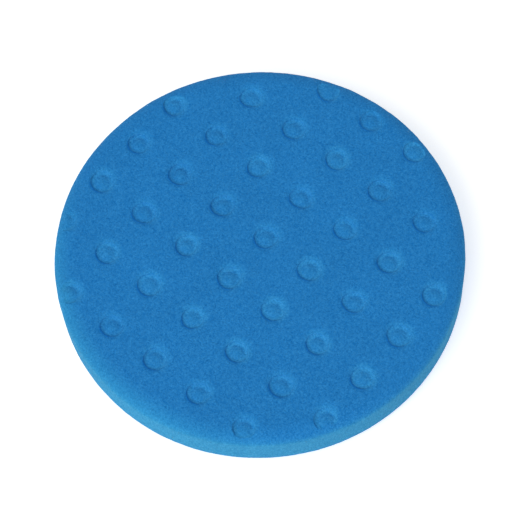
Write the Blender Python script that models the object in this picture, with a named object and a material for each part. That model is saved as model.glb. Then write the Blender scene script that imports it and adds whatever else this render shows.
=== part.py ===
"""A foam polishing pad with a loop-cloth back, for a polisher's hook plate. Metres, +Z towards the working face.

The pad lies on its loop cloth, and the origin is the centre of the cloth's outer face. Three round pieces are
stacked on the Z axis: the loop cloth, the adhesive film that bonds it, and the foam body. The foam has a bevel
beside the cloth, a rounded edge at the working face, and a square grid of round pockets, each with a nub.
"""

import math

import bmesh
import bpy

MM = 0.001

# The pad as a whole.
PAD_RADIUS = 82.55 * MM
FOAM_THICKNESS = 22.2 * MM
LOOP_RADIUS = 77.0 * MM

# The layers under the foam, from the outside in, each a glue gap apart.
LOOP_THICKNESS = 1.0 * MM
FILM_THICKNESS = 0.2 * MM
GLUE_GAP = 0.2 * MM
FILM_INSET = 0.4 * MM

# The foam's edges.
BEVEL_WIDTH = 4.7 * MM
BEVEL_HEIGHT = 4.4 * MM
FACE_EDGE_RADIUS = 4.6 * MM
LOOP_EDGE_RADIUS = 0.3 * MM

# The pockets: a square grid that isn't centred on the pad, as in pads cut from a patterned sheet.
POCKET_PITCH = 22.6 * MM
GRID_OFFSET = (-1.0 * MM, 5.3 * MM)
POCKET_FIELD_RADIUS = 80.0 * MM
POCKET_RADIUS = 4.6 * MM
POCKET_WALL_DEPTH = 2.85 * MM
POCKET_FLOOR_DEPTH = 2.05 * MM
POCKET_LIP = 0.8 * MM
NUB_RADIUS = 1.65 * MM
CUTTER_RISE = 1.0 * MM

# How finely the round shapes are drawn.
RIM_STEPS = 72
EDGE_ARC_STEPS = 5
POCKET_STEPS = 16
NUB_ARC_STEPS = 2

FILM_BASE = LOOP_THICKNESS + GLUE_GAP
FOAM_BASE = FILM_BASE + FILM_THICKNESS + GLUE_GAP
FACE_HEIGHT = FOAM_BASE + FOAM_THICKNESS


def clear_scene():
    for obj in list(bpy.data.objects):
        bpy.data.objects.remove(obj, do_unlink=True)


def material(name, colour, roughness):
    made = bpy.data.materials.new(name)
    made.use_nodes = True
    shader = made.node_tree.nodes["Principled BSDF"]
    shader.inputs["Base Color"].default_value = (*colour, 1.0)
    shader.inputs["Roughness"].default_value = roughness
    shader.inputs["Metallic"].default_value = 0.0
    return made


def arc(centre_r, centre_z, radius, start_deg, end_deg, steps):
    """Points (r, z) along a circular arc of a profile, both ends included."""
    angles = [math.radians(start_deg + (end_deg - start_deg) * i / steps) for i in range(steps + 1)]
    return [(centre_r + radius * math.cos(a), centre_z + radius * math.sin(a)) for a in angles]


def spin_profile(bm, profile, steps, centre=(0.0, 0.0)):
    """Turns an open (r, z) profile once about the vertical line through centre. Returns the new vertices."""
    x, y = centre
    before = set(bm.verts)
    line = [bm.verts.new((x + r, y, z)) for r, z in profile]
    edges = [bm.edges.new(pair) for pair in zip(line, line[1:])]
    bmesh.ops.spin(
        bm,
        geom=line + edges,
        cent=(x, y, 0.0),
        axis=(0.0, 0.0, 1.0),
        angle=math.tau,
        steps=steps,
        use_merge=True,
    )
    return [vert for vert in bm.verts if vert not in before]


def finish_mesh(bm, name, look=None):
    """Closes a bmesh's open ends, points its faces out and puts it in the scene as an object."""
    bmesh.ops.remove_doubles(bm, verts=bm.verts[:], dist=0.0001 * MM)
    bmesh.ops.holes_fill(bm, edges=[edge for edge in bm.edges if edge.is_boundary], sides=0)
    bmesh.ops.recalc_face_normals(bm, faces=bm.faces[:])
    mesh = bpy.data.meshes.new(name)
    bm.to_mesh(mesh)
    bm.free()
    mesh.shade_smooth()
    mesh.set_sharp_from_angle(angle=math.radians(35))
    obj = bpy.data.objects.new(name, mesh)
    bpy.context.scene.collection.objects.link(obj)
    if look:
        mesh.materials.append(look)
    return obj


def round_plate(name, profile, look):
    """A round solid whose profile runs from the edge of its lower face to the edge of its upper face."""
    bm = bmesh.new()
    spin_profile(bm, profile, RIM_STEPS)
    return finish_mesh(bm, name, look)


def loop_backing():
    """The loop cloth, with its cut edge slightly rounded on the outer face."""
    radius = LOOP_EDGE_RADIUS
    profile = arc(LOOP_RADIUS - radius, radius, radius, -90, 0, 2)
    profile.append((LOOP_RADIUS, LOOP_THICKNESS))
    look = material("loop cloth", (0.010, 0.012, 0.012), 0.95)
    return round_plate("loop_backing", profile, look)


def adhesive_film():
    radius = LOOP_RADIUS - FILM_INSET
    profile = [(radius, FILM_BASE), (radius, FILM_BASE + FILM_THICKNESS)]
    look = material("adhesive", (0.55, 0.52, 0.42), 0.45)
    return round_plate("adhesive_film", profile, look)


def pocket_profile():
    """From the nub's tip, down the nub, out over the sloping floor, up the wall and out over the lip."""
    nub_base = FACE_HEIGHT - POCKET_FLOOR_DEPTH
    wall_base = FACE_HEIGHT - POCKET_WALL_DEPTH
    profile = [(0.0, nub_base + NUB_RADIUS)]
    profile += arc(0.0, nub_base, NUB_RADIUS, 90, 0, NUB_ARC_STEPS)[1:]
    profile.append((POCKET_RADIUS, wall_base))
    profile.append((POCKET_RADIUS, FACE_HEIGHT - POCKET_LIP))
    # The lip leans out at 45 degrees and carries on above the face, so that the cut is clean.
    flare = POCKET_LIP + CUTTER_RISE
    profile.append((POCKET_RADIUS + flare, FACE_HEIGHT + CUTTER_RISE))
    return profile


def pocket_centres():
    """The grid points near enough to the pad's axis to be pressed into its face."""
    reach = math.ceil(POCKET_FIELD_RADIUS / POCKET_PITCH) + 1
    centres = []
    for column in range(-reach, reach + 1):
        for row in range(-reach, reach + 1):
            x = GRID_OFFSET[0] + column * POCKET_PITCH
            y = GRID_OFFSET[1] + row * POCKET_PITCH
            if math.hypot(x, y) < POCKET_FIELD_RADIUS:
                centres.append((x, y))
    return centres


def pocket_cutter():
    """Every pocket's hollow as one helper object, which the foam is cut with."""
    bm = bmesh.new()
    for centre in pocket_centres():
        spin_profile(bm, pocket_profile(), POCKET_STEPS, centre)
    cutter = finish_mesh(bm, "pocket_cutter")
    cutter.hide_render = True
    cutter.display_type = "WIRE"
    return cutter


def foam_pad(cutter):
    """The foam disc: bevel, side wall and rounded edge as one profile, with the pockets cut out of its face."""
    profile = [
        (PAD_RADIUS - BEVEL_WIDTH, FOAM_BASE),
        (PAD_RADIUS, FOAM_BASE + BEVEL_HEIGHT),
    ]
    edge_r = PAD_RADIUS - FACE_EDGE_RADIUS
    edge_z = FACE_HEIGHT - FACE_EDGE_RADIUS
    profile += arc(edge_r, edge_z, FACE_EDGE_RADIUS, 0, 90, EDGE_ARC_STEPS)
    look = material("blue foam", (0.020, 0.195, 0.500), 0.90)
    foam = round_plate("foam_pad", profile, look)
    cut = foam.modifiers.new("pockets", "BOOLEAN")
    cut.operation = "DIFFERENCE"
    cut.solver = "EXACT"
    cut.object = cutter
    return foam


clear_scene()
loop_backing()
adhesive_film()
foam_pad(pocket_cutter())
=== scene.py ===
"""Looks for a foam polishing pad: blue foam with a pocketed face on a black loop-cloth back, lying face up.

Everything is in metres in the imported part's frame. Z runs from the loop cloth to the working face. The
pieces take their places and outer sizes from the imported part's own boxes.
"""

import math

import bpy
import numpy as np
from mathutils import Matrix, Vector, geometry, noise


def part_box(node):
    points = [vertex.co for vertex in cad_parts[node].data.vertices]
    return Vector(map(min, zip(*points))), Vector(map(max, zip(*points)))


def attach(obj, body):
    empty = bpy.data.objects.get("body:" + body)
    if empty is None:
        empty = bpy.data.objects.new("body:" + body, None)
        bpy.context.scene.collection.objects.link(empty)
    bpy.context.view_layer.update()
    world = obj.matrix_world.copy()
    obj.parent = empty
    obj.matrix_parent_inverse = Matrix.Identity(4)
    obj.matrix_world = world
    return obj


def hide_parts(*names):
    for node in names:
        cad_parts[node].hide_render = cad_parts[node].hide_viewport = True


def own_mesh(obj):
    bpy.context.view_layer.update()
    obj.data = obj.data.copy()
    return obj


MM = 0.001

# The camera: where it stands round the pad and above it and its tilt about the line of sight, in degrees,
# and its distance from the pad's middle.
CAMERA_AZIMUTH = 43.7
CAMERA_ELEVATION = 65.5
CAMERA_ROLL = -4.3
CAMERA_DISTANCE = 0.866
CAMERA_LENS_MM = 148.0

# The lights: a soft sky, a large key light, and a low one that catches the pad's edge. Azimuth and elevation
# are in degrees, the side of each square light in metres, and its power in watts.
SKY_STRENGTH = 0.57
LIGHT_DISTANCE = 3.0
KEY_LIGHT = {"azimuth": CAMERA_AZIMUTH - 37, "elevation": 47, "side": 2.06, "watts": 45.0}
EDGE_LIGHT = {"azimuth": CAMERA_AZIMUTH - 54, "elevation": 14, "side": 1.50, "watts": 9.5}

# The floor lies just under the loops, and is a square that reaches this many metres each way.
FLOOR_GAP = 0.2 * MM
FLOOR_HALF = 30.0
FLOOR_GLOW = 0.46

# The foam's section. The face rolls off over a wider stretch than it drops, as soft foam does, along a
# quarter of an ellipse. EDGE_SPREAD is the radius of a circle about as long round as that ellipse.
BEVEL_WIDTH = 4.7 * MM
BEVEL_HEIGHT = 4.4 * MM
EDGE_WIDTH = 8.2 * MM
EDGE_DROP = 4.6 * MM
EDGE_SPREAD = math.hypot(EDGE_WIDTH, EDGE_DROP) / math.sqrt(2)

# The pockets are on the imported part's grid. Hot pressing leaves a round-bottomed hollow with a low nub, and
# a lip that slopes in and is longer on the side that the press dragged.
POCKET_PITCH = 22.6 * MM
GRID_OFFSET = (-1.0 * MM, 5.3 * MM)
POCKET_FIELD_RADIUS = 80.0 * MM
POCKET_RADIUS = 4.7 * MM
POCKET_DEPTH = 1.52 * MM
FLOOR_RADIUS = 3.25 * MM
NUB_RADIUS = 3.0 * MM
NUB_TIP_DEPTH = 0.86 * MM
LIP_WIDTH = 2.2 * MM
LIP_DROP = 0.50 * MM
LIP_DRAG = 0.32
# At this angle the pocket's wall is also kept pale, as painted light on the side that faces the lights.
LIP_DRAG_ANGLE = math.radians(80)

# How one pocket may differ from the pattern, lowest and highest: depth and size as shares of the pattern's,
# an oval and a three-lobed outline, a slanted floor, and how pale its marks are, painted light included.
POCKET_SHIFT_MM = 0.15
POCKET_DEPTHS = (0.80, 1.08)
POCKET_SIZES = (0.95, 1.05)
POCKET_OVALS = (0.0, 0.040)
POCKET_LOBES = (0.0, 0.030)
LOBES_TURN = 1.0
POCKET_TILTS = (0.0, 0.14)
POCKET_PALENESS = (0.55, 1.20)
POCKET_SEED = 11

# Marks held on the mesh as an attribute: 0 is untouched, 1 is paler and -1 is a deeper blue. The pocket and
# the lip are paler, as pressed foam is, less on the nub's tip. A pale ring on the bowl's wall and the wall's
# top kept pale where it faces the lights are painted light, and the deeper blue where the wall faces away is
# painted shade.
PRESS_MARKS_AND_PAINTED_LIGHT = "pressed"
POCKET_BLEACH = 0.50
TIP_SHARE = 0.60
WALL_RING_PAINTED_LIGHT = 0.38
# Painted light: a pale ring round the bowl's wall that lifts its shade.
WALL_RING_RADIUS = 4.05 * MM
WALL_RING_WIDTH = 0.8 * MM
# Painted shade: a deeper blue at this radius on the side of each pocket whose wall faces away from the lights,
# the angle of that side, and how much of the pale ring is left off there.
PAINTED_SHADE_RADIUS = 4.68 * MM
PAINTED_SHADE_WIDTH = 0.60 * MM
SHADED_SIDE_ANGLE = math.radians(268)
RING_SPARED_ON_SHADED_SIDE = 0.6

# The side of a pocket whose wall faces the lights, kept pale as painted light, and the side whose wall faces
# away, given painted shade, as (middle, swing) of a clipped cosine.
LIT_SIDE = (0.85, 1.1)
SHADED_SIDE = (-0.75, 1.9)

# Pressed foam is crumpled, and at the rim the marks are full where a pocket cuts this deep into the edge.
CRUMPLE = 0.15 * MM
CRUMPLE_LENGTH = 1.5 * MM
CRUMPLE_SEED = 6.7
FULL_CUT = 0.2 * LIP_DROP

# The foam's unevenness, from the widest to the finest, as (height, wavelength, noise seed). It fades out
# close to the base.
UNEVENNESS = ((0.10 * MM, 30 * MM, 1.7), (0.07 * MM, 7 * MM, 5.1), (0.075 * MM, 1.5 * MM, 9.3))
CLEAR_OF_BASE = 1.5 * MM

# How finely the foam is meshed. The land between the pockets is a jittered grid of points.
LAND_SPACING = 0.95 * MM
LAND_JITTER = 0.12
LAND_SEED = 7

# The rings about the pad's axis start a little way in on the flat face. The pockets' rings stop short of the
# rim.
RIM_STEPS = 560
RIM_SPACING = 0.85 * MM
RIM_OVERLAP = 2.5 * MM
RIM_CLEARANCE = 0.25 * MM

# The rings about each pocket have points this far apart, between a fewest and a most. On the nub and the lip
# they are at shares of its width, and on the bowl's round wall at turns in degrees.
POCKET_SPACING = 0.45 * MM
FEWEST_POINTS = 8
MOST_POINTS = 52
POCKET_CLEARANCE = 0.7 * LAND_SPACING
NUB_RINGS = (0.25, 0.5, 0.7, 0.85, 0.95, 1.0)
BOWL_RINGS = (12, 24, 36, 48, 60, 72, 82, 90)
LIP_RINGS = (0.08, 0.2, 0.36, 0.54, 0.76, 1.0)

# The rings under the edge, the innermost as a share of the base, and how close two points count as one.
WALL_RINGS = 14
BEVEL_RINGS = 7
BASE_RINGS = 8
BASE_MIDDLE = 0.05
SAME_POINT = 1e-9

# The backing's round pieces. An outline is (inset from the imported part's, depth, wavelength, noise seed): it
# wanders by that depth over that wavelength. Inside it are plain rings at shares of the radius.
DISC_STEPS = 360
CLOTH_EDGE = (0.1 * MM, 0.15 * MM, 2.5 * MM, 3.1)
CLOTH_FACE_EDGE = (0.5 * MM, 0.20 * MM, 2.5 * MM, 4.4)
CLOTH_RISE = 0.45 * MM
CLOTH_LOWER_ROUNDING = 0.25 * MM
CLOTH_UPPER_ROUNDING = 0.1 * MM
CLOTH_RINGS = (0.2, 0.4, 0.6, 0.8, 0.9)
FILM_EDGE = (0.2 * MM, 0.3 * MM, 4.0 * MM, 8.2)
FILM_FACE_EDGE = (0.4 * MM, 0.3 * MM, 4.0 * MM, 8.2)
FILM_RINGS = (0.3, 0.6, 0.9)

# The loops are arches of yarn that are rooted in the cloth and stand out towards the hook plate. Each size
# is drawn between a lowest and a highest, in millimetres.
LOOP_COUNT = 6800
LOOP_BENDS = 5
YARN_SIDES = 3
LOOP_SEED = 23
LOOP_INSET = 0.4 * MM
LOOP_ROOT = 0.85 * MM
LOOP_LOWEST = 0.01 * MM
HALF_SPANS_MM = (0.35, 0.85)
DROPS_MM = (0.45, 0.85)
LEANS_MM = (-0.45, 0.45)
YARN_RADII_MM = (0.07, 0.13)

# The foam's colours, deep and pale for the darker and lighter grains. The pressed foam's paler blue also
# paints light on the pockets' walls, the side's colours are painted light on the cut side, the deep blue is
# painted shade on the pockets' walls, and the edge colour is painted light on the rounded edge.
FACE_DEEP = (0.0004, 0.152, 0.488)
FACE_PALE = (0.0335, 0.271, 0.632)
BLEACH_AND_PAINTED_LIGHT_DEEP = (0.0105, 0.230, 0.575)
BLEACH_AND_PAINTED_LIGHT_PALE = (0.0610, 0.376, 0.725)
SIDE_PAINTED_LIGHT_DEEP = (0.0080, 0.195, 0.415)
SIDE_PAINTED_LIGHT_PALE = (0.0570, 0.345, 0.580)
PAINTED_SHADE_BLUE = (0.0002, 0.200, 0.690)
PAINTED_EDGE_LIGHT = (0.0500, 0.400, 0.480)

# How much of each colour shows where it is strongest.
BLEACH_AND_PAINTED_LIGHT_SHARE = 0.85
PAINTED_SHADE_SHARE = 0.72
SIDE_PAINTED_LIGHT_SHARE = 0.88
PAINTED_EDGE_LIGHT_SHARE = 0.20

# Where the cut side's colours and the edge's painted light lie. The first two are distances from the radius
# where the face starts to round. A surface whose upness is above the third counts as flat. The painted light
# is on the edge's side that faces the lights, from a share of that radius.
SIDE_START = -1 * MM
SIDE_FULL = 2 * MM
FLAT_UPNESS = 0.97
PAINTED_EDGE_LIGHT_FACING = (-0.27, -0.96, 0.0)
PAINTED_EDGE_LIGHT_FROM = 0.5

# The foam's textures, in cells per metre. The streaks down the cut side are noise that is laid round the rim
# at a fixed radius, and drawn out in height, where its place is squeezed to this share.
GRAIN_SCALE = 1150.0
STREAK_SCALE = 1100.0
PORE_SCALE = 1900.0
PATCH_SCALE = 45.0
STREAK_RADIUS = 80.0 * MM
STREAK_SQUEEZE = 0.3

# Most values of one noise texture, and of two added together, lie in these ranges.
NOISE_RANGE = (0.3, 0.7)
TWO_NOISES_RANGE = (0.72, 1.28)

# The backing's colours and textures, in cells per metre. The grey is a painted highlight, where the nylon
# catches the light.
LOOP_BLACK = (0.0032, 0.0046, 0.0043)
LOOP_GREY = (0.100, 0.118, 0.113)
FILM_DEEP = (0.50, 0.46, 0.36)
FILM_PALE = (0.66, 0.63, 0.54)
FLECK_SCALE = 1350.0
FLECK_RANGE = (0.49, 0.71)
FLECK_PATCH_SCALE = 60.0
FLECK_PATCH_RANGE = (0.34, 0.68)
FLECKS_BETWEEN_PATCHES = 0.25
KNIT_SCALE = 1800.0
STRAND_SCALE = 2600.0
BLISTER_SCALE = 600.0
CLOUD_SCALE = 250.0


# ---------------------------------------------------------------- mesh helpers


def mesh_object(name, points, faces, look):
    mesh = bpy.data.meshes.new(name)
    mesh.from_pydata([tuple(p) for p in points], [], [tuple(f) for f in faces])
    mesh.validate()
    mesh.shade_smooth()
    mesh.materials.append(look)
    obj = bpy.data.objects.new(name, mesh)
    bpy.context.scene.collection.objects.link(obj)
    return obj


def push_along_normals(obj, amount):
    """Moves each vertex along its normal by amount(position), a distance in metres."""
    mesh = obj.data
    normals = [n.vector.copy() for n in mesh.vertex_normals]
    for vertex, normal in zip(mesh.vertices, normals):
        vertex.co += normal * amount(vertex.co)
    mesh.update()


def wobble(point, wavelength, seed):
    """Smooth noise between about -1 and 1 that repeats its ups and downs every wavelength or so."""
    return noise.noise(point / wavelength + Vector((seed, 2 * seed, 3 * seed)))


# ---------------------------------------------------------------- foam


class Pockets:
    """The pockets pressed into the face: a square grid, where each differs a little from the pattern."""

    def __init__(self):
        reach = math.ceil(POCKET_FIELD_RADIUS / POCKET_PITCH) + 1
        steps = np.arange(-reach, reach + 1) * POCKET_PITCH
        x, y = np.meshgrid(GRID_OFFSET[0] + steps, GRID_OFFSET[1] + steps)
        grid = np.stack([x.ravel(), y.ravel()], axis=1)
        grid = grid[np.hypot(grid[:, 0], grid[:, 1]) < POCKET_FIELD_RADIUS]
        rng = np.random.default_rng(POCKET_SEED)
        count = len(grid)
        self.centres = grid + rng.uniform(-POCKET_SHIFT_MM, POCKET_SHIFT_MM, grid.shape) * MM
        self.depth = rng.uniform(*POCKET_DEPTHS, count)
        self.size = rng.uniform(*POCKET_SIZES, count)
        self.oval = rng.uniform(*POCKET_OVALS, count)
        self.lobes = rng.uniform(*POCKET_LOBES, count)
        self.tilt = rng.uniform(*POCKET_TILTS, count)
        self.turn = rng.uniform(0, math.tau, count)
        self.pale = rng.uniform(*POCKET_PALENESS, count)

    def outline(self, which, angle):
        """How far a pocket reaches in a direction, as a share of the pattern's own radius."""
        angle = angle - self.turn[which]
        oval = self.oval[which] * np.cos(2 * angle)
        return self.size[which] + oval + self.lobes[which] * np.cos(3 * angle + LOBES_TURN)

    def over(self, x, y):
        """Each point's nearest pocket, its distance from it, scaled to the pattern's size, and its angle."""
        dx = x[:, None] - self.centres[:, 0]
        dy = y[:, None] - self.centres[:, 1]
        which = np.hypot(dx, dy).argmin(axis=1)
        rows = np.arange(len(x))
        dx, dy = dx[rows, which], dy[rows, which]
        angle = np.arctan2(dy, dx)
        return which, np.hypot(dx, dy) / self.outline(which, angle), angle


def lip_width(angle):
    return LIP_WIDTH * (1 + LIP_DRAG * np.cos(angle - LIP_DRAG_ANGLE))


def pocket_depth(rho, angle):
    """How far the foam lies below the flat face, at distance rho and an angle round a pocket's centre."""
    nub = POCKET_DEPTH - (POCKET_DEPTH - NUB_TIP_DEPTH) * (1 - (rho / NUB_RADIUS) ** 2)
    bowl_share = np.clip((rho - FLOOR_RADIUS) / (POCKET_RADIUS - FLOOR_RADIUS), 0, 1)
    bowl = LIP_DROP + (POCKET_DEPTH - LIP_DROP) * np.sqrt(1 - bowl_share**2)
    lip = LIP_DROP * np.clip(1 - (rho - POCKET_RADIUS) / lip_width(angle), 0, 1) ** 2
    return np.select([rho < NUB_RADIUS, rho < POCKET_RADIUS], [nub, bowl], lip)


def one_side(angle, towards, middle, swing):
    """1 on the side of a pocket that lies towards an angle, and 0 on the far side."""
    return np.clip(middle + swing * np.cos(angle - towards), 0, 1)


def pocket_marks(rho, angle, paleness):
    """What the marks are, from -1 to 1. The pocket and its lip are paler, as pressed foam is. The wall's top
    stays pale on the side that faces the lights and a pale ring runs round the wall, both painted light, and a
    deeper blue on the wall's top on the side facing away is painted shade."""
    # The side whose wall faces the lights, and the side whose wall faces away.
    lit_side = one_side(angle, LIP_DRAG_ANGLE, *LIT_SIDE)
    shaded_side = one_side(angle, SHADED_SIDE_ANGLE, *SHADED_SIDE)
    off_tip = TIP_SHARE + (1 - TIP_SHARE) * np.clip(rho / NUB_RADIUS, 0, 1) ** 2
    lip_share = np.clip((rho - POCKET_RADIUS) / lip_width(angle), 0, 1)
    over_edge = np.clip((rho - WALL_RING_RADIUS) / (POCKET_RADIUS - WALL_RING_RADIUS), 0, 1)
    rim = np.exp(-(((rho - WALL_RING_RADIUS) / WALL_RING_WIDTH) ** 2))
    # The pocket is paler, as pressed foam is, and its wall's top stays pale only on the side facing the
    # lights, which is painted light.
    bleach_and_painted_light = POCKET_BLEACH * off_tip * (1 - over_edge * (1 - lit_side)) * (1 - lip_share)
    # Painted light: a pale ring round the bowl's wall that lifts its shade, less on the shaded side.
    bleach_and_painted_light += WALL_RING_PAINTED_LIGHT * rim * (1 - RING_SPARED_ON_SHADED_SIDE * shaded_side)
    # Painted shade: a deeper blue at the wall's top on the side facing away from the lights.
    painted_shade = shaded_side * np.exp(-(((rho - PAINTED_SHADE_RADIUS) / PAINTED_SHADE_WIDTH) ** 2))
    return np.clip(bleach_and_painted_light * paleness - painted_shade, -1, 1)


def pocket_rings():
    """A pocket's centre and the rings round it, as (radius, share of the lip, number of points)."""
    radii = [NUB_RADIUS * share for share in NUB_RINGS] + [FLOOR_RADIUS]
    bowl_width = POCKET_RADIUS - FLOOR_RADIUS
    radii += [FLOOR_RADIUS + bowl_width * math.sin(math.radians(turn)) for turn in BOWL_RINGS]
    rings = [(radius, 0.0) for radius in radii] + [(POCKET_RADIUS, share) for share in LIP_RINGS]
    found = [(0.0, 0.0, 1)]
    for radius, share in rings:
        count = min(MOST_POINTS, max(FEWEST_POINTS, math.tau * radius / POCKET_SPACING))
        found.append((radius, share, int(count)))
    return found


def section_point(s, flat_radius, top):
    """(radius, height) at distance s out from the axis, along the flat face and down the rounded edge."""
    turn = np.clip(s - flat_radius, 0, None) / EDGE_SPREAD
    radius = np.minimum(s, flat_radius) + EDGE_WIDTH * np.sin(turn)
    return radius, top - EDGE_DROP * (1 - np.cos(turn))


def clear_of_pockets(pockets, x, y):
    """Whether each point lies outside the pockets' lips, with room for a triangle between."""
    _, rho, angle = pockets.over(x, y)
    return rho > POCKET_RADIUS + lip_width(angle) + POCKET_CLEARANCE


def land_points(radius, rim_start, pockets):
    """The flat land between the pockets: a jittered triangular grid, as (distance from the axis, angle)."""
    rng = np.random.default_rng(LAND_SEED)
    rows = np.arange(-radius, radius, LAND_SPACING * math.sqrt(3) / 2)
    columns = np.arange(-radius, radius, LAND_SPACING)
    x, y = np.meshgrid(columns, rows)
    x[1::2] += LAND_SPACING / 2
    x = (x + rng.uniform(-LAND_JITTER, LAND_JITTER, x.shape) * LAND_SPACING).ravel()
    y = (y + rng.uniform(-LAND_JITTER, LAND_JITTER, y.shape) * LAND_SPACING).ravel()
    kept = clear_of_pockets(pockets, x, y) & (np.hypot(x, y) < rim_start)
    return np.stack([np.hypot(x, y), np.arctan2(y, x)], axis=1)[kept]


def pocket_points(radius, pockets):
    """Rings about each pocket's centre, left out where they would run off the pad."""
    flat_radius = radius - EDGE_WIDTH
    found = []
    for which, (cx, cy) in enumerate(pockets.centres):
        for ring_radius, lip_share, count in pocket_rings():
            angle = math.tau * np.arange(count) / count
            reach = (ring_radius + lip_share * lip_width(angle)) * pockets.outline(which, angle)
            x = cx + reach * np.cos(angle)
            y = cy + reach * np.sin(angle)
            r = np.hypot(x, y)
            turn = np.arcsin(np.clip((r - flat_radius) / EDGE_WIDTH, 0, 1))
            s = np.minimum(r, flat_radius) + EDGE_SPREAD * turn
            kept = r < radius - RIM_CLEARANCE
            found.append(np.stack([s, np.arctan2(y, x)], axis=1)[kept])
    return np.concatenate(found)


def edge_points(radius, rim_start, pockets):
    """Rings about the pad's axis, down the rounded edge. The last one, at its foot, is whole."""
    flat_radius = radius - EDGE_WIDTH
    edge_end = flat_radius + EDGE_SPREAD * math.pi / 2
    ring_count = math.ceil((edge_end - rim_start) / RIM_SPACING)
    angle = math.tau * np.arange(RIM_STEPS) / RIM_STEPS
    found = []
    for i in range(ring_count + 1):
        s = rim_start + (edge_end - rim_start) * i / ring_count
        ring = np.stack([np.full(RIM_STEPS, s), angle], axis=1)
        r = float(section_point(s, flat_radius, 0.0)[0])
        if i < ring_count:
            ring = ring[clear_of_pockets(pockets, r * np.cos(angle), r * np.sin(angle))]
        found.append(ring)
    return np.concatenate(found)


def pressed_face(flat, flat_radius, top, pockets):
    """The face's points and the marks on them: the pressed foam's paleness, with painted light and shade.
    Each point's height is its pocket's or the unpressed edge's, whichever is lower. The marks fade out where a
    pocket at the rim no longer cuts into the edge."""
    r, unpressed = section_point(flat[:, 0], flat_radius, top)
    x, y = r * np.cos(flat[:, 1]), r * np.sin(flat[:, 1])
    which, rho, angle = pockets.over(x, y)
    slant = 1 + pockets.tilt[which] * np.cos(angle - pockets.turn[which]) * rho / POCKET_RADIUS
    pressed_to = top - pocket_depth(rho, angle) * pockets.depth[which] * slant
    cuts_in = np.clip((unpressed - pressed_to) / FULL_CUT, 0, 1)
    marks = pocket_marks(rho, angle, pockets.pale[which]) * cuts_in
    crumple = [wobble(Vector((px, py, 0.0)), CRUMPLE_LENGTH, CRUMPLE_SEED) for px, py in zip(x, y)]
    z = np.minimum(unpressed, pressed_to) - CRUMPLE * np.abs(marks) * np.array(crumple)
    return np.stack([x, y, z], axis=1), marks


def lower_section(radius, lo, hi):
    """The (radius, height) of each ring below the rounded edge: down the wall and the bevel, and in to the
    middle of the base."""
    bevel_top = lo.z + BEVEL_HEIGHT
    down = np.linspace(hi.z - EDGE_DROP, bevel_top, WALL_RINGS + 1)[1:]
    across = np.linspace(0, 1, BEVEL_RINGS + 1)[1:]
    inward = np.linspace(1, BASE_MIDDLE, BASE_RINGS + 1)[1:]
    wall = [(radius, height) for height in down]
    bevel = [(radius - BEVEL_WIDTH * t, bevel_top - BEVEL_HEIGHT * t) for t in across]
    base = [((radius - BEVEL_WIDTH) * t, lo.z) for t in inward]
    return wall + bevel + base


def foam_mesh(lo, hi):
    """The foam body's points and faces, from its face round to its base, and the marks on its face."""
    radius = (hi.x - lo.x) / 2
    rim_start = radius - EDGE_WIDTH - RIM_OVERLAP
    pockets = Pockets()
    land = land_points(radius, rim_start, pockets)
    pressed = pocket_points(radius, pockets)
    edge = edge_points(radius, rim_start, pockets)

    # The face and its edge are spread out flat to join their points into triangles.
    flat = np.concatenate([land, pressed, edge])
    spread = [Vector((s * math.cos(a), s * math.sin(a))) for s, a in flat]
    _, _, triangles, sources, _, _ = geometry.delaunay_2d_cdt(spread, [], [], 0, SAME_POINT)
    faces = [tuple(sources[v][0] for v in tri) for tri in triangles]
    face, marks = pressed_face(flat, radius - EDGE_WIDTH, hi.z, pockets)
    points = list(face)

    # The rest hangs ring below ring from the edge's last ring.
    above = len(points) - RIM_STEPS
    for ring_radius, height in lower_section(radius, lo, hi):
        below = len(points)
        for i in range(RIM_STEPS):
            angle = math.tau * i / RIM_STEPS
            points.append((ring_radius * math.cos(angle), ring_radius * math.sin(angle), height))
            after = (i + 1) % RIM_STEPS
            faces.append((above + i, below + i, below + after, above + after))
        above = below
    faces.append(tuple(range(above + RIM_STEPS - 1, above - 1, -1)))
    return points, faces, marks


def soften_foam(obj, base):
    """Gives the foam its slight unevenness: a lazy face, an edge that isn't quite round, and torn cells."""

    def amount(p):
        off_base = min(1.0, max(0.0, (p.z - base) / CLEAR_OF_BASE))
        return off_base * sum(height * wobble(p, length, seed) for height, length, seed in UNEVENNESS)

    push_along_normals(obj, amount)


def foam_body(lo, hi):
    points, faces, marks = foam_mesh(lo, hi)
    obj = mesh_object("foam_body", points, faces, foam_look((hi.x - lo.x) / 2 - EDGE_WIDTH))
    # The marks hold the pressed foam's paleness together with painted light and shade.
    pressed = obj.data.attributes.new(PRESS_MARKS_AND_PAINTED_LIGHT, "FLOAT", "POINT")
    pressed.data.foreach_set("value", np.pad(marks, (0, len(points) - len(marks))))
    soften_foam(obj, lo.z)
    return obj


# ---------------------------------------------------------------- materials


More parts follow.
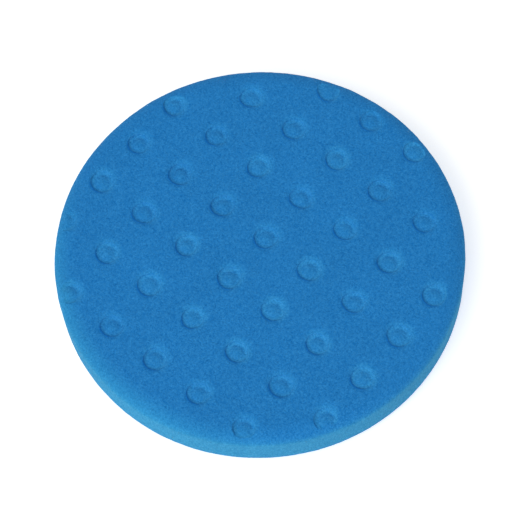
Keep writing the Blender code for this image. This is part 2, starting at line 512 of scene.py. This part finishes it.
class Nodes:
    """A material's node tree, with short ways to add and join nodes."""

    def __init__(self, name):
        self.material = bpy.data.materials.new(name)
        self.material.use_nodes = True
        self.tree = self.material.node_tree
        self.shader = self.tree.nodes["Principled BSDF"]

    def add(self, kind, **settings):
        node = self.tree.nodes.new(kind)
        for key, value in settings.items():
            setattr(node, key, value)
        return node

    def join(self, source, target):
        self.tree.links.new(source, target)

    def place(self):
        """Each point's place in its object's own frame, in metres."""
        return self.add("ShaderNodeTexCoord").outputs["Object"]

    def noise(self, where, scale, detail, roughness):
        node = self.add("ShaderNodeTexNoise")
        node.inputs["Scale"].default_value = scale
        node.inputs["Detail"].default_value = detail
        node.inputs["Roughness"].default_value = roughness
        self.join(where, node.inputs["Vector"])
        return node.outputs["Fac"]

    def cells(self, where, scale):
        """Each point's distance from the middle of its cell."""
        node = self.add("ShaderNodeTexVoronoi")
        node.inputs["Scale"].default_value = scale
        self.join(where, node.inputs["Vector"])
        return node.outputs["Distance"]

    def span(self, value, low, high, to_low, to_high, smooth=False):
        """value, mapped from low..high to to_low..to_high and clamped."""
        node = self.add("ShaderNodeMapRange", clamp=True)
        if smooth:
            node.interpolation_type = "SMOOTHSTEP"
        self.join(value, node.inputs["Value"])
        for key, number in (("From Min", low), ("From Max", high), ("To Min", to_low), ("To Max", to_high)):
            node.inputs[key].default_value = number
        return node.outputs["Result"]

    def maths(self, operation, a, b=0.0):
        node = self.add("ShaderNodeMath", operation=operation)
        for slot, value in zip(node.inputs, (a, b)):
            if isinstance(value, (int, float)):
                slot.default_value = value
            else:
                self.join(value, slot)
        return node.outputs[0]

    def mix(self, share, a, b):
        """Colours a and b mixed by share, a socket. A colour is (r, g, b) or a socket."""
        node = self.add("ShaderNodeMix", data_type="RGBA")
        slots = [slot for slot in node.inputs if slot.enabled]
        for slot, value in zip(slots, (share, a, b)):
            if isinstance(value, tuple):
                slot.default_value = (*value, 1.0)
            else:
                self.join(value, slot)
        return next(socket for socket in node.outputs if socket.enabled)

    def attribute(self, name):
        return self.add("ShaderNodeAttribute", attribute_name=name).outputs["Fac"]

    def scaled(self, vector, factor):
        node = self.add("ShaderNodeVectorMath", operation="SCALE")
        self.join(vector, node.inputs[0])
        if isinstance(factor, (int, float)):
            node.inputs["Scale"].default_value = factor
        else:
            self.join(factor, node.inputs["Scale"])
        return node.outputs[0]

    def vector(self, operation, a, b=None):
        node = self.add("ShaderNodeVectorMath", operation=operation)
        self.join(a, node.inputs[0])
        if isinstance(b, tuple):
            node.inputs[1].default_value = b
        elif b is not None:
            self.join(b, node.inputs[1])
        return next(socket for socket in node.outputs if socket.enabled)

    def bump(self, height, distance, strength, over=None):
        node = self.add("ShaderNodeBump")
        node.inputs["Strength"].default_value = strength
        node.inputs["Distance"].default_value = distance
        self.join(height, node.inputs["Height"])
        if over:
            self.join(over, node.inputs["Normal"])
        return node.outputs["Normal"]

    def upness(self):
        """1 where the surface faces straight up, 0 on an upright wall, -1 where it faces down."""
        normal = self.add("ShaderNodeNewGeometry").outputs["Normal"]
        split = self.add("ShaderNodeSeparateXYZ")
        self.join(normal, split.inputs[0])
        return split.outputs["Z"]

    def set(self, key, value):
        if isinstance(value, tuple):
            self.shader.inputs[key].default_value = (*value, 1.0)
        elif isinstance(value, (int, float)):
            self.shader.inputs[key].default_value = value
        else:
            self.join(value, self.shader.inputs[key])


def from_the_axis(n, where):
    """A level vector from the pad's axis out to each point."""
    return n.vector("MULTIPLY", where, (1.0, 1.0, 0.0))


def down_the_side(n, where):
    """where, laid round the rim and drawn out in height, so that noise on it makes streaks down the side."""
    round_the_rim = n.scaled(n.vector("NORMALIZE", from_the_axis(n, where)), STREAK_RADIUS)
    return n.vector("ADD", round_the_rim, n.scaled(where, STREAK_SQUEEZE))


def foam_colour(n, where, grain, flat_radius):
    """The face's blue, with the pressed foam's paler blue laid over it, and painted light and shade: the
    pockets' walls lit and shaded, the rounded edge paler on the side facing the lights, and the cut side
    lighter.
    """
    grained = n.span(grain, *NOISE_RANGE, 0.0, 1.0)
    marks = n.attribute(PRESS_MARKS_AND_PAINTED_LIGHT)
    pressed = n.mix(grained, BLEACH_AND_PAINTED_LIGHT_DEEP, BLEACH_AND_PAINTED_LIGHT_PALE)
    colour = n.mix(grained, FACE_DEEP, FACE_PALE)
    # The pressed foam's paler blue, which also paints light on the pockets' walls.
    colour = n.mix(n.span(marks, 0.0, 1.0, 0.0, BLEACH_AND_PAINTED_LIGHT_SHARE), colour, pressed)
    # Painted shade: a deeper blue where the pockets' walls face away from the lights.
    colour = n.mix(n.span(marks, -1.0, 0.0, PAINTED_SHADE_SHARE, 0.0), colour, PAINTED_SHADE_BLUE)

    # Painted light: the rounded edge is coloured paler on the side that faces the lights.
    side_start = flat_radius + SIDE_START
    distance = n.vector("LENGTH", from_the_axis(n, where))
    round_edge = n.span(distance, side_start, flat_radius + EDGE_WIDTH, 0.0, 1.0, smooth=True)
    faces_the_lights = n.vector("DOT_PRODUCT", where, PAINTED_EDGE_LIGHT_FACING)
    edge_light_mask = n.span(faces_the_lights, PAINTED_EDGE_LIGHT_FROM * flat_radius, flat_radius, 0.0, PAINTED_EDGE_LIGHT_SHARE)
    colour = n.mix(n.maths("MULTIPLY", round_edge, edge_light_mask), colour, PAINTED_EDGE_LIGHT)

    # The cut side is streaked, and its lighter, more cyan colour is painted light, for light scattered through
    # the foam's edge. It is where the surface is steep near the rim, and not in the pockets' walls.
    streaks = n.noise(down_the_side(n, where), STREAK_SCALE, 4.0, 0.8)
    streaked = n.span(n.maths("ADD", grain, streaks), *TWO_NOISES_RANGE, 0.0, 1.0)
    steep = n.span(n.maths("ABSOLUTE", n.upness()), 0.0, FLAT_UPNESS, 1.0, 0.0, smooth=True)
    near_rim = n.span(distance, side_start, flat_radius + SIDE_FULL, 0.0, SIDE_PAINTED_LIGHT_SHARE)
    return n.mix(n.maths("MULTIPLY", steep, near_rim), colour, n.mix(streaked, SIDE_PAINTED_LIGHT_DEEP, SIDE_PAINTED_LIGHT_PALE))


def foam_look(flat_radius):
    """Fine open-cell foam, dull and a little velvety, with a grain, pores and faint cloudy patches. The
    creases between the pores are painted darker, as painted shade.
    """
    n = Nodes("blue_foam_cells")
    where = n.place()
    grain = n.noise(where, GRAIN_SCALE, 4.0, 0.85)
    pores = n.cells(where, PORE_SCALE)
    patches = n.noise(where, PATCH_SCALE, 2.0, 0.5)
    grainy = n.span(grain, *NOISE_RANGE, 0.92, 1.08)
    # Painted shade: darker in the creases between the pores.
    pitted = n.maths("MULTIPLY", grainy, n.span(pores, 0.2, 0.8, 1.06, 0.88))
    light = n.maths("MULTIPLY", pitted, n.span(patches, *NOISE_RANGE, 0.97, 1.03))
    n.set("Base Color", n.scaled(foam_colour(n, where, grain, flat_radius), light))
    n.set("Roughness", n.span(grain, *NOISE_RANGE, 0.86, 1.0))
    n.set("Specular IOR Level", 0.08)
    n.set("Sheen Weight", 0.05)
    n.set("Sheen Roughness", 0.6)
    n.set("Sheen Tint", (0.35, 0.70, 1.0))
    coarse = n.bump(grain, 0.30 * MM, 0.8)
    n.set("Normal", n.bump(n.maths("MULTIPLY", pores, -1.0), 0.15 * MM, 0.6, over=coarse))
    return n.material


def loop_flecks(n, where):
    """Where the brushed nylon catches the light, 0 to 1: short flecks, gathered in cloudy patches."""
    flecks = n.span(n.noise(where, FLECK_SCALE, 3.0, 0.85), *FLECK_RANGE, 0.0, 1.0)
    cloudy = n.noise(where, FLECK_PATCH_SCALE, 3.0, 0.65)
    patches = n.span(cloudy, *FLECK_PATCH_RANGE, FLECKS_BETWEEN_PATCHES, 1.0, smooth=True)
    return n.maths("MULTIPLY", flecks, patches)


def cloth_look():
    """The knitted ground under the loops: near-black, with grey flecks painted where the nylon catches the
    light.
    """
    n = Nodes("loop_cloth_ground")
    where = n.place()
    n.set("Base Color", n.mix(loop_flecks(n, where), LOOP_BLACK, LOOP_GREY))
    n.set("Roughness", 0.95)
    n.set("Specular IOR Level", 0.05)
    n.set("Normal", n.bump(n.noise(where, KNIT_SCALE, 3.0, 0.7), 0.2 * MM, 0.8))
    return n.material


def yarn_look():
    """The loops: black nylon, where some loops catch the light and show grey."""
    n = Nodes("loop_yarn_nylon")
    where = n.place()
    each = n.add("ShaderNodeNewGeometry").outputs["Random Per Island"]
    bright_loops = n.maths("MULTIPLY", n.maths("POWER", each, 4.0), 0.5)
    flecks = n.maths("MINIMUM", n.maths("ADD", loop_flecks(n, where), bright_loops), 1.0)
    n.set("Base Color", n.mix(flecks, LOOP_BLACK, LOOP_GREY))
    n.set("Roughness", n.span(each, 0.0, 1.0, 0.75, 0.45))
    n.set("Specular IOR Level", 0.08)
    n.set("Normal", n.bump(n.noise(where, STRAND_SCALE, 2.0, 0.6), 0.04 * MM, 0.6))
    return n.material


def film_look():
    """Hot-melt adhesive: a dull amber sheet with small blisters."""
    n = Nodes("adhesive_film_melt")
    where = n.place()
    cloudy = n.noise(where, CLOUD_SCALE, 3.0, 0.6)
    n.set("Base Color", n.mix(n.span(cloudy, *NOISE_RANGE, 0.0, 1.0), FILM_DEEP, FILM_PALE))
    n.set("Roughness", n.span(cloudy, *NOISE_RANGE, 0.35, 0.6))
    n.set("Normal", n.bump(n.cells(where, BLISTER_SCALE), 0.05 * MM, 0.5))
    return n.material


# ---------------------------------------------------------------- backing


def disc_mesh(rings):
    """Points and faces of a closed round slab. Each ring is (radius as a function of the angle, height)."""
    points, faces = [], []
    for i, (radius_at, height) in enumerate(rings):
        for j in range(DISC_STEPS):
            angle = math.tau * j / DISC_STEPS
            r = radius_at(angle)
            points.append((r * math.cos(angle), r * math.sin(angle), height))
            if i:
                below, above, after = (i - 1) * DISC_STEPS, i * DISC_STEPS, (j + 1) % DISC_STEPS
                faces.append((below + j, below + after, above + after, above + j))
    last = (len(rings) - 1) * DISC_STEPS
    faces.append(tuple(range(DISC_STEPS - 1, -1, -1)))
    faces.append(tuple(range(last, last + DISC_STEPS)))
    return points, faces


def circle(radius):
    return lambda angle: radius


def ragged(radius, inset, depth, wavelength, seed):
    """A circle that lies inside the radius by inset, and wanders by depth as it goes round."""
    middle = radius - inset

    def at(angle):
        spot = Vector((middle * math.cos(angle), middle * math.sin(angle), 0))
        return middle + depth * wobble(spot, wavelength, seed)

    return at


def loop_cloth(lo, hi, top):
    """The knitted ground that holds the loops, with a ragged cut edge."""
    radius = (hi.x - lo.x) / 2
    base = lo.z + CLOTH_RISE
    edge = ragged(radius, *CLOTH_EDGE)
    face_edge = ragged(radius, *CLOTH_FACE_EDGE)
    rings = [(circle(radius * share), base) for share in CLOTH_RINGS]
    rings += [(face_edge, base), (edge, base + CLOTH_LOWER_ROUNDING)]
    rings += [(edge, top - CLOTH_UPPER_ROUNDING), (face_edge, top)]
    return mesh_object("loop_cloth", *disc_mesh(rings), cloth_look())


def yarn_points(lo, hi):
    """The points of every loop, by loop, bend and side."""
    rng = np.random.default_rng(LOOP_SEED)
    reach = ((hi.x - lo.x) / 2 - LOOP_INSET) * np.sqrt(rng.uniform(0, 1, LOOP_COUNT))
    angle = rng.uniform(0, math.tau, LOOP_COUNT)
    centre = np.stack([reach * np.cos(angle), reach * np.sin(angle)], axis=1)
    heading = rng.uniform(0, math.tau, LOOP_COUNT)
    along = np.stack([np.cos(heading), np.sin(heading)], axis=1)
    across = np.stack([-np.sin(heading), np.cos(heading)], axis=1)
    half_span = rng.uniform(*HALF_SPANS_MM, LOOP_COUNT) * MM
    drop = rng.uniform(*DROPS_MM, LOOP_COUNT) * MM
    lean = rng.uniform(*LEANS_MM, LOOP_COUNT) * MM
    yarn = rng.uniform(*YARN_RADII_MM, LOOP_COUNT) * MM

    # The yarn's own ring has one direction across the arch, and the other in the arch's plane.
    sideways = np.concatenate([across, np.zeros((LOOP_COUNT, 1))], axis=1)
    points = np.zeros((LOOP_COUNT, LOOP_BENDS, YARN_SIDES, 3))
    for i in range(LOOP_BENDS):
        t = math.pi * i / (LOOP_BENDS - 1)
        out, down = -math.cos(t), math.sin(t)
        middle = centre + along * (half_span * out)[:, None] + across * (lean * down)[:, None]
        height = lo.z + LOOP_ROOT - drop * down
        outward = np.concatenate([along * out, np.full((LOOP_COUNT, 1), -down)], axis=1)
        for j in range(YARN_SIDES):
            turn = math.tau * j / YARN_SIDES
            ring = (outward * math.cos(turn) + sideways * math.sin(turn)) * yarn[:, None]
            points[:, i, j, :2] = middle + ring[:, :2]
            points[:, i, j, 2] = np.maximum(height + ring[:, 2], lo.z + LOOP_LOWEST)
    return points.reshape(-1, 3)


def yarn_faces():
    """The sides and the two ends of every loop."""
    faces = []
    for start in range(0, LOOP_COUNT * LOOP_BENDS * YARN_SIDES, LOOP_BENDS * YARN_SIDES):
        for i in range(LOOP_BENDS - 1):
            a = start + i * YARN_SIDES
            b = a + YARN_SIDES
            for j in range(YARN_SIDES):
                after = (j + 1) % YARN_SIDES
                faces.append((a + j, a + after, b + after, b + j))
        end = start + (LOOP_BENDS - 1) * YARN_SIDES
        faces.append(tuple(range(start + YARN_SIDES - 1, start - 1, -1)))
        faces.append(tuple(range(end, end + YARN_SIDES)))
    return faces


def loop_pile(lo, hi):
    """The loops themselves, which stand out of the cloth towards the hook plate."""
    return mesh_object("loop_pile", yarn_points(lo, hi), yarn_faces(), yarn_look())


def adhesive_layer(lo, hi, top):
    """The melted film between the cloth and the foam, which fills the gap up to the foam."""
    radius = (hi.x - lo.x) / 2
    edge = ragged(radius, *FILM_EDGE)
    face_edge = ragged(radius, *FILM_FACE_EDGE)
    rings = [(circle(radius * share), lo.z) for share in FILM_RINGS]
    rings += [(face_edge, lo.z), (edge, (lo.z + top) / 2), (face_edge, top)]
    return mesh_object("adhesive_layer", *disc_mesh(rings), film_look())


# ---------------------------------------------------------------- stage


def floor(height):
    """A white table that gives off a little light of its own, as the floor of a light tent does."""
    n = Nodes("pale_floor")
    n.set("Base Color", (0.90, 0.90, 0.90))
    n.set("Roughness", 0.9)
    n.set("Specular IOR Level", 0.1)
    n.set("Emission Color", (1.0, 1.0, 1.0))
    n.set("Emission Strength", FLOOR_GLOW)
    signs = ((-1, -1), (1, -1), (1, 1), (-1, 1))
    corners = [(x * FLOOR_HALF, y * FLOOR_HALF, height) for x, y in signs]
    plane = mesh_object("floor", corners, [(0, 1, 2, 3)], n.material)


def direction(azimuth, elevation):
    """A unit vector from two angles in degrees. Azimuth 0 is towards -Y, and azimuth grows towards +X."""
    a, e = math.radians(azimuth), math.radians(elevation)
    return Vector((math.sin(a) * math.cos(e), -math.cos(a) * math.cos(e), math.sin(e)))


def soft_light(name, target, azimuth, elevation, side, watts):
    """A square area light that faces the pad."""
    back = direction(azimuth, elevation)
    lamp = bpy.data.lights.new(name, "AREA")
    lamp.shape = "SQUARE"
    lamp.size = side
    lamp.energy = watts
    obj = bpy.data.objects.new(name, lamp)
    obj.location = target + back * LIGHT_DISTANCE
    obj.rotation_euler = back.to_track_quat("Z", "Y").to_euler()
    bpy.context.scene.collection.objects.link(obj)


def camera(target):
    back = direction(CAMERA_AZIMUTH, CAMERA_ELEVATION)
    lens = bpy.data.cameras.new("camera")
    lens.lens = CAMERA_LENS_MM
    obj = bpy.data.objects.new("camera", lens)
    aim = back.to_track_quat("Z", "Y").to_matrix().to_4x4()
    roll = Matrix.Rotation(math.radians(CAMERA_ROLL), 4, "Z")
    obj.matrix_world = Matrix.Translation(target + back * CAMERA_DISTANCE) @ aim @ roll
    bpy.context.scene.collection.objects.link(obj)
    bpy.context.scene.camera = obj


def studio(target):
    """The sky, the two lights and the camera. The sky lights the pad softly but looks plain white."""
    scene = bpy.context.scene
    scene.view_settings.view_transform = "Standard"
    world = bpy.data.worlds.new("studio")
    world.use_nodes = True
    tree = world.node_tree
    background = tree.nodes["Background"]
    seen = tree.nodes.new("ShaderNodeLightPath").outputs["Is Camera Ray"]
    strength = tree.nodes.new("ShaderNodeMapRange")
    strength.inputs["To Min"].default_value = SKY_STRENGTH
    strength.inputs["To Max"].default_value = 1.0
    tree.links.new(seen, strength.inputs["Value"])
    tree.links.new(strength.outputs["Result"], background.inputs["Strength"])
    background.inputs["Color"].default_value = (1.0, 1.0, 1.0, 1.0)
    scene.world = world
    soft_light("key", target, **KEY_LIGHT)
    soft_light("edge", target, **EDGE_LIGHT)
    camera(target)


# ---------------------------------------------------------------- build

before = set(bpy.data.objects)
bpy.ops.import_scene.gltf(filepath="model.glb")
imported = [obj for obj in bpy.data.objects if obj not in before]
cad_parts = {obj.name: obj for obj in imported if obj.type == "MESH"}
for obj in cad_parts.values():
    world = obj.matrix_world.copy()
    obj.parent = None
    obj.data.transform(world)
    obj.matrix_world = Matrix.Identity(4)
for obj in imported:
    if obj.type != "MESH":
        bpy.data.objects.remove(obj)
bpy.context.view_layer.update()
foam_lo, foam_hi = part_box("foam_pad")
loop_lo, loop_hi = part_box("loop_backing")
film_lo, film_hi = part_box("adhesive_film")

foam = foam_body(foam_lo, foam_hi)
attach(foam, "foam")
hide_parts("foam_pad")

cloth = loop_cloth(loop_lo, loop_hi, film_lo.z)
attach(cloth, "backing")
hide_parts("loop_backing")

pile = loop_pile(loop_lo, loop_hi)
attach(pile, "backing")

film = adhesive_layer(film_lo, film_hi, foam_lo.z)
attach(film, "backing")
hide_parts("adhesive_film")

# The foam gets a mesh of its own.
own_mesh(foam)

middle = Vector((0, 0, (loop_lo.z + foam_hi.z) / 2))
floor(loop_lo.z - FLOOR_GAP)
studio(middle)
